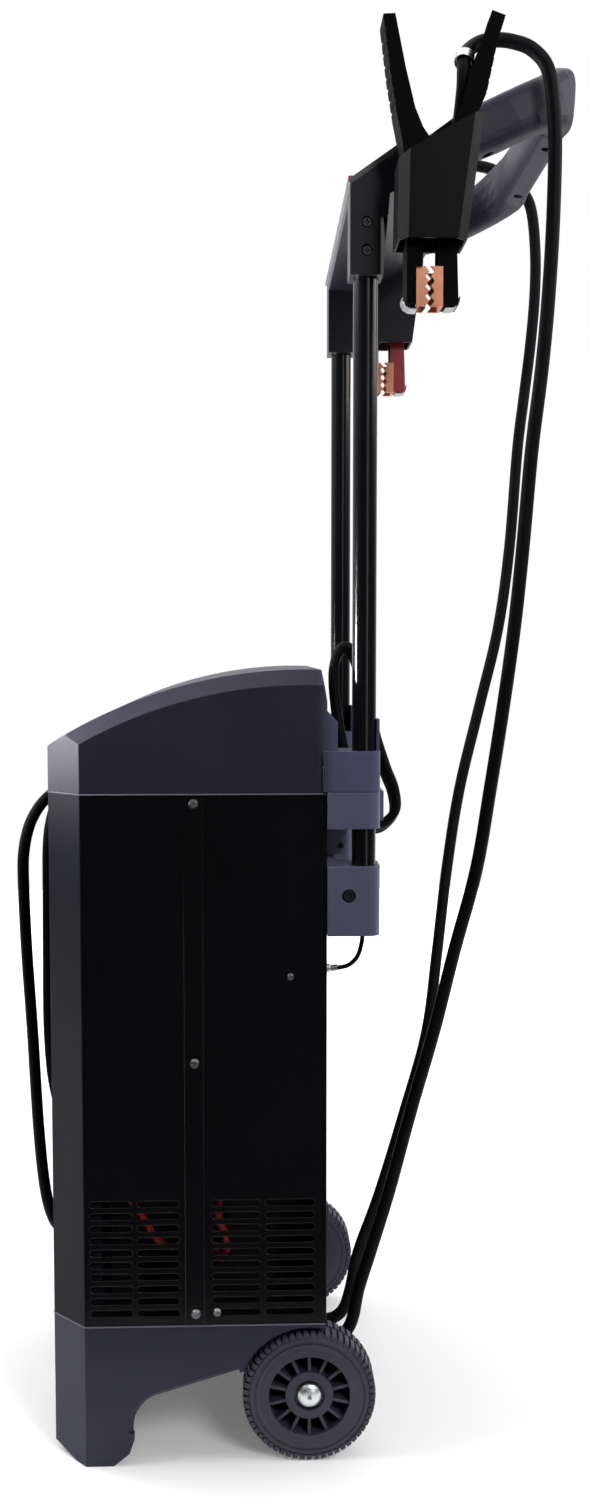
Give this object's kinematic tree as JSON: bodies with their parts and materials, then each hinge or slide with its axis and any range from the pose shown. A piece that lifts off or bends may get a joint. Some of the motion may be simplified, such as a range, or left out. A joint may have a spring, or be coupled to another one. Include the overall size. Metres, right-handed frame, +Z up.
{
  "type": "car battery charger",
  "caption": "Upright car battery charger on wheels, with a tube handle, a control console and two clamps in side holsters",
  "frame": {"origin": "on the floor, below the middle of the object's width and depth (its flexible cables left out)", "axes": "+X to the object's right seen from behind, across its width; +Y from the front face towards the wheels and the push handle; +Z up"},
  "size_m": [0.392, 0.4859, 1.1344],
  "materials": {
    "moulding": "moulded, fine grain",
    "light_moulding": "moulded, smooth",
    "sheet_paint": "gloss powder coat",
    "tube_paint": "gloss enamel",
    "window": "clear tinted window",
    "button": "smooth",
    "board": "lacquered circuit board",
    "clamp_black": "grained grip",
    "clamp_red": "grained grip",
    "copper": "copper plated steel",
    "zinc": "zinc plated",
    "tyre_rubber": "solid rubber",
    "core_steel": "varnished laminations",
    "winding_paper": "wrapped winding",
    "sink_metal": "extruded",
    "red_jacket": "cable sheath",
    "cord_jacket": "cable sheath"
  },
  "bodies": {
    "case": {"base": "moulding", "front_fascia": "moulding", "side_sheet_left": "sheet_paint", "side_sheet_right": "sheet_paint", "rear_wrap": "sheet_paint", "top_cover": "moulding", "cord_cleats": "moulding", "upper_bracket": "moulding", "lower_bracket": "moulding", "outlet_box": "light_moulding", "tube_left": "tube_paint", "tube_right": "tube_paint", "console_housing": "moulding", "console_panel": "light_moulding", "display_window": "window", "control_board": "board", "push_handle": "moulding", "holster_left": "moulding", "holster_right": "moulding", "black_rear_half": "clamp_black", "black_pin": "zinc", "black_spring": "zinc", "black_rear_jaw": "copper", "black_crimp": "zinc", "red_rear_half": "clamp_red", "red_pin": "zinc", "red_spring": "zinc", "red_rear_jaw": "copper", "red_crimp": "zinc", "axle": "zinc", "axle_caps": "zinc", "floor_plate": "sheet_paint", "transformer_core": "core_steel", "transformer_coil": "winding_paper", "heat_sink": "sink_metal", "fan_frame": "moulding", "power_board": "board", "inner_leads": "red_jacket", "cable_glands": "cord_jacket", "cable_black": "cord_jacket", "cable_red": "cord_jacket", "mains_cord": "cord_jacket", "mains_plug": "cord_jacket", "control_lead": "cord_jacket", "earth_lead": "cord_jacket", "case_screws": "zinc", "bracket_screws": "zinc"},
    "wheel_left": {"tyre_left": "tyre_rubber", "rim_left": "moulding"},
    "wheel_right": {"tyre_right": "tyre_rubber", "rim_right": "moulding"},
    "black_jaw": {"black_front_half": "clamp_black", "black_front_jaw": "copper"},
    "red_jaw": {"red_front_half": "clamp_red", "red_front_jaw": "copper"},
    "fan": {"fan_rotor": "moulding"},
    "mode_button": {"button_mode": "button"},
    "rate_button": {"button_rate": "button"},
    "start_button": {"button_start": "button"}
  },
  "joints": [
    {"name": "wheel_left_spin", "type": "hinge", "parent": "case", "child": "wheel_left", "pos_m": [-0.134, -0.0005, 0.054], "axis": [1, 0, 0], "continuous": true},
    {"name": "wheel_right_spin", "type": "hinge", "parent": "case", "child": "wheel_right", "pos_m": [0.134, -0.0005, 0.054], "axis": [1, 0, 0], "continuous": true},
    {"name": "black_clamp_open", "type": "hinge", "parent": "case", "child": "black_jaw", "pos_m": [0.175, 0.088, 0.985], "axis": [-1, 0, 0], "range_deg": [0, 8], "stiffness_Nm_per_rad": 3, "springref_deg": -28.65},
    {"name": "red_clamp_open", "type": "hinge", "parent": "case", "child": "red_jaw", "pos_m": [-0.175, 0.088, 0.985], "axis": [-1, 0, 0], "range_deg": [0, 8], "stiffness_Nm_per_rad": 3, "springref_deg": -28.65},
    {"name": "fan_spin", "type": "hinge", "parent": "case", "child": "fan", "pos_m": [0, 0, 0.172], "axis": [0, 1, 0], "continuous": true},
    {"name": "mode_press", "type": "slide", "parent": "case", "child": "mode_button", "axis": [0, 0.5736, -0.8192], "range_m": [0, 0.0015], "stiffness_N_per_m": 700, "springref_m": -0.0008},
    {"name": "rate_press", "type": "slide", "parent": "case", "child": "rate_button", "axis": [0, 0.5736, -0.8192], "range_m": [0, 0.0015], "stiffness_N_per_m": 700, "springref_m": -0.0008},
    {"name": "start_press", "type": "slide", "parent": "case", "child": "start_button", "axis": [0, 0.5736, -0.8192], "range_m": [0, 0.0015], "stiffness_N_per_m": 700, "springref_m": -0.0008}
  ]
}
